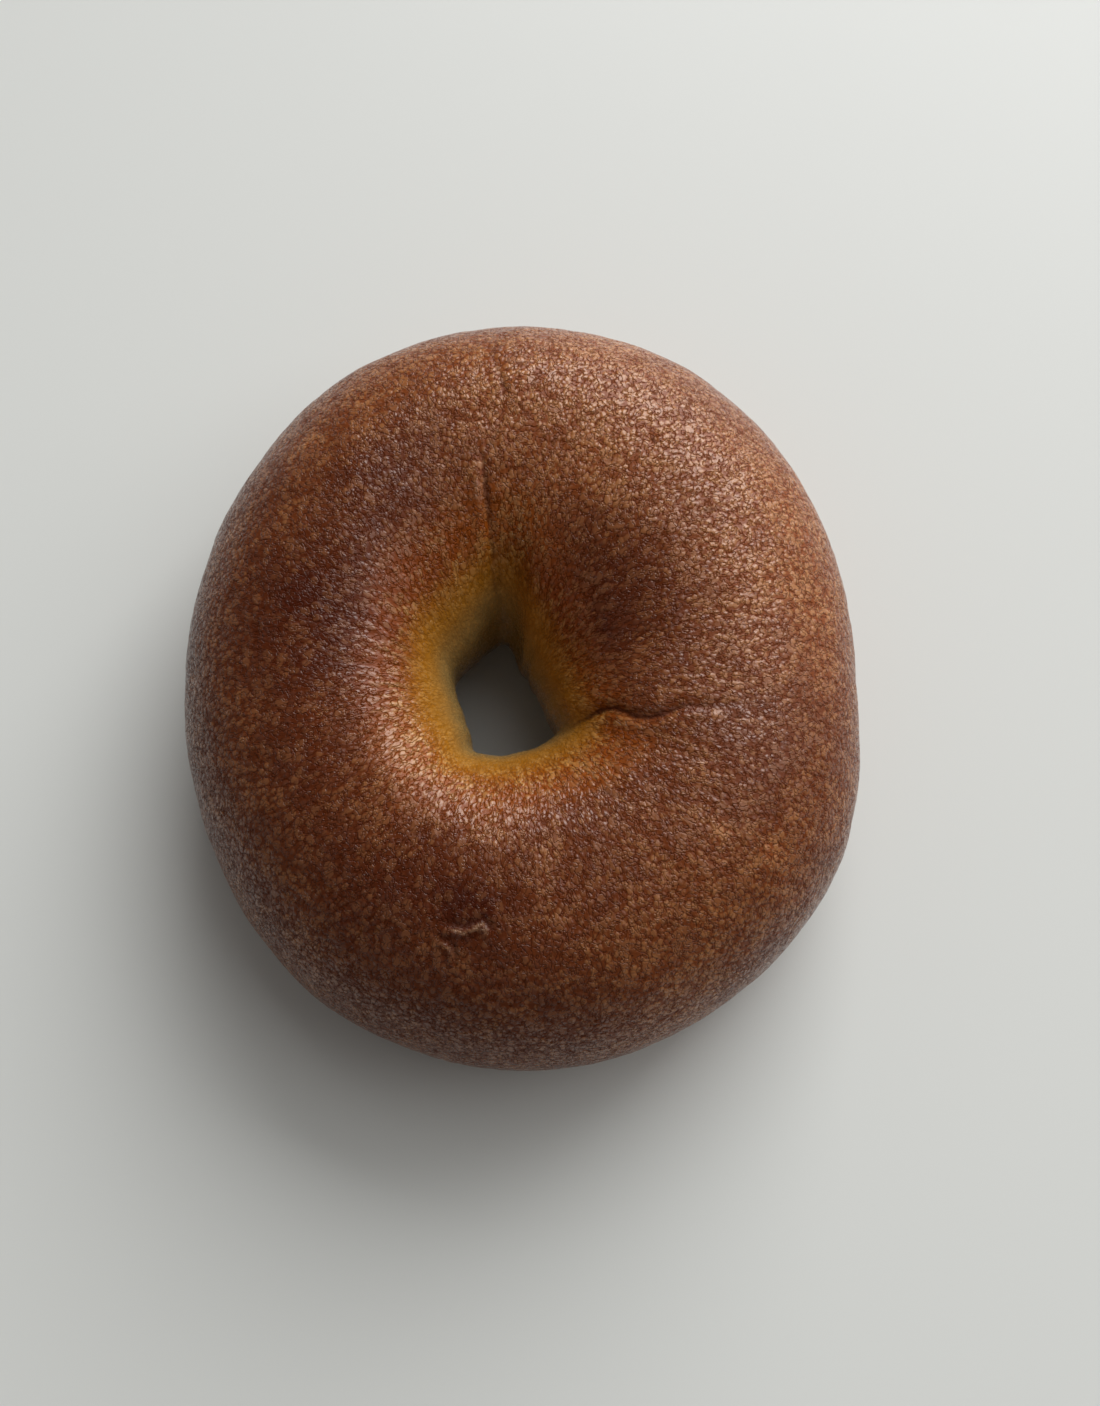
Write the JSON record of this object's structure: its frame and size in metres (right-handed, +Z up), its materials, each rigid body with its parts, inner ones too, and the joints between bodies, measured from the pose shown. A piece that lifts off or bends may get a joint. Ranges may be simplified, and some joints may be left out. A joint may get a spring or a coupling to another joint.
{
  "type": "bagel",
  "caption": "Plain baked bagel: a fat, slightly uneven ring of browned bread dough with a small off-centre hole, flat underneath.",
  "frame": {"origin": "middle of the footprint, on the surface that the bagel rests on", "axes": "+Z up, through the hole; +Y the ring's long direction, towards the side with the pinched seam; +X to its right"},
  "size_m": [0.0982, 0.11, 0.0381],
  "materials": {
    "crust": "satin bread crust, mahogany brown with fine golden blisters, golden round the hole"
  },
  "bodies": {
    "root": {"bagel": "crust"}
  },
  "joints": []
}
